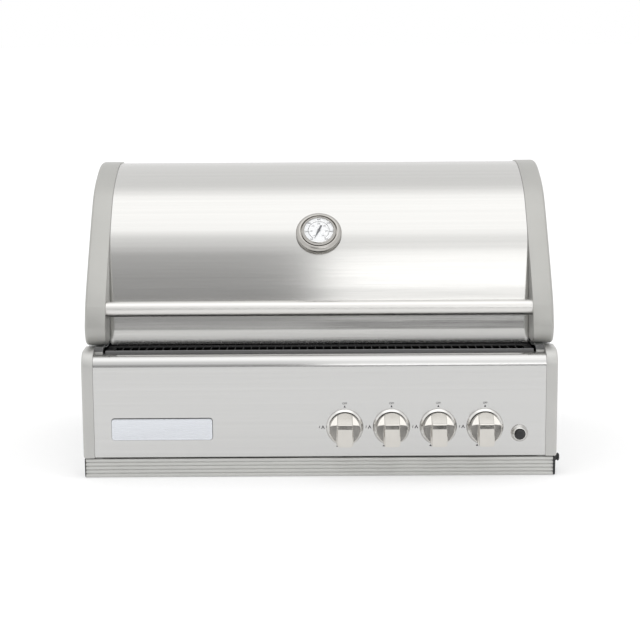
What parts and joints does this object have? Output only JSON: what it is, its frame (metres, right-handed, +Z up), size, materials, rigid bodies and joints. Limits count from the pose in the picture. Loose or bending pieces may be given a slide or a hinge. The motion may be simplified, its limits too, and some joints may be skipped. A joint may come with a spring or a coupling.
{
  "type": "built-in gas grill",
  "caption": "Built-in gas grill head: hinged hood with a thermometer and bar handle over a firebox, a rounded control fascia with turn knobs and an igniter, and a pull-out drip tray.",
  "frame": {"origin": "middle of the base pan's underside, which rests in the counter", "axes": "+X to the right of someone at the controls, +Y away from them towards the hinge, +Z up"},
  "size_m": [0.839, 0.5531, 0.5264],
  "materials": {
    "brushed_steel": "brushed, horizontal grain",
    "satin_casting": "satin warm grey paint on cast aluminium",
    "polished_steel": "polished",
    "tube_steel": "fine satin",
    "badge_metal": "satin, bare",
    "sheet_steel": "mill finish folded sheet",
    "burner_steel": "mill finish",
    "black_enamel": "satin black stove enamel",
    "cast_iron": "matt seasoned",
    "gas_brass": "machined",
    "black_plastic": "matt black",
    "dial_white": "matt white print",
    "needle_paint": "dark grey",
    "window_glass": "clear"
  },
  "bodies": {
    "grill": {"fascia_panel": "brushed_steel", "badge_plate": "badge_metal", "fascia_cap_left": "satin_casting", "fascia_cap_right": "satin_casting", "igniter_housing": "polished_steel", "gas_manifold": "sheet_steel", "gas_inlet_cap": "black_plastic", "hinge_pin_left": "polished_steel", "hinge_pin_right": "polished_steel", "body_side_left": "sheet_steel", "body_side_right": "sheet_steel", "body_rear": "sheet_steel", "base_pan": "sheet_steel", "firebox_front": "black_enamel", "firebox_rear": "sheet_steel", "firebox_left": "sheet_steel", "firebox_right": "sheet_steel", "grate_left": "cast_iron", "grate_middle": "cast_iron", "hotplate": "cast_iron", "warming_rack": "polished_steel", "knob_bezel_1": "polished_steel", "valve_body_1": "gas_brass", "burner_1": "burner_steel", "flame_tamer_1": "burner_steel", "knob_bezel_2": "polished_steel", "valve_body_2": "gas_brass", "burner_2": "burner_steel", "flame_tamer_2": "burner_steel", "knob_bezel_3": "polished_steel", "valve_body_3": "gas_brass", "burner_3": "burner_steel", "flame_tamer_3": "burner_steel", "knob_bezel_4": "polished_steel", "valve_body_4": "gas_brass", "burner_4": "burner_steel", "flame_tamer_4": "burner_steel"},
    "lid": {"lid_skin": "brushed_steel", "lid_liner": "sheet_steel", "lid_cap_left": "satin_casting", "lid_cap_right": "satin_casting", "lid_handle": "tube_steel", "thermometer_case": "polished_steel", "thermometer_dial": "dial_white", "thermometer_glass": "window_glass"},
    "needle": {"thermometer_needle": "needle_paint"},
    "igniter": {"igniter_button": "black_plastic"},
    "tray": {"drip_tray": "sheet_steel", "tray_front": "satin_casting", "tray_end_cap_left": "black_plastic", "tray_end_cap_right": "black_plastic"},
    "valve_1": {"valve_stem_1": "gas_brass"},
    "knob_1": {"knob_1": "polished_steel"},
    "valve_2": {"valve_stem_2": "gas_brass"},
    "knob_2": {"knob_2": "polished_steel"},
    "valve_3": {"valve_stem_3": "gas_brass"},
    "knob_3": {"knob_3": "polished_steel"},
    "valve_4": {"valve_stem_4": "gas_brass"},
    "knob_4": {"knob_4": "polished_steel"}
  },
  "joints": [
    {"name": "lid_hinge", "type": "hinge", "parent": "grill", "child": "lid", "pos_m": [0, 0.18885, 0.3], "axis": [-1, 0, 0], "range_deg": [0, 85]},
    {"name": "needle_turn", "type": "hinge", "parent": "lid", "child": "needle", "pos_m": [0, -0.14614, 0.41353], "axis": [0, 0.7627, -0.6468], "range_deg": [0, 290]},
    {"name": "igniter_push", "type": "slide", "parent": "grill", "child": "igniter", "axis": [0, 1, 0], "range_m": [0, 0.0035], "stiffness_N_per_m": 700, "springref_m": -0.002},
    {"name": "tray_slide", "type": "slide", "parent": "grill", "child": "tray", "axis": [0, -1, 0], "range_m": [0, 0.38]},
    {"name": "knob_turn_1", "type": "hinge", "parent": "grill", "child": "valve_1", "pos_m": [0.0435, -0.28115, 0.089], "axis": [0, -1, 0], "range_deg": [0, 205]},
    {"name": "knob_push_1", "type": "slide", "parent": "valve_1", "child": "knob_1", "axis": [0, 1, 0], "range_m": [0, 0.003], "stiffness_N_per_m": 700, "springref_m": -0.002},
    {"name": "knob_turn_2", "type": "hinge", "parent": "grill", "child": "valve_2", "pos_m": [0.1252, -0.28115, 0.089], "axis": [0, -1, 0], "range_deg": [0, 205]},
    {"name": "knob_push_2", "type": "slide", "parent": "valve_2", "child": "knob_2", "axis": [0, 1, 0], "range_m": [0, 0.003], "stiffness_N_per_m": 700, "springref_m": -0.002},
    {"name": "knob_turn_3", "type": "hinge", "parent": "grill", "child": "valve_3", "pos_m": [0.2069, -0.28115, 0.089], "axis": [0, -1, 0], "range_deg": [0, 205]},
    {"name": "knob_push_3", "type": "slide", "parent": "valve_3", "child": "knob_3", "axis": [0, 1, 0], "range_m": [0, 0.003], "stiffness_N_per_m": 700, "springref_m": -0.002},
    {"name": "knob_turn_4", "type": "hinge", "parent": "grill", "child": "valve_4", "pos_m": [0.2886, -0.28115, 0.089], "axis": [0, -1, 0], "range_deg": [0, 205]},
    {"name": "knob_push_4", "type": "slide", "parent": "valve_4", "child": "knob_4", "axis": [0, 1, 0], "range_m": [0, 0.003], "stiffness_N_per_m": 700, "springref_m": -0.002}
  ]
}
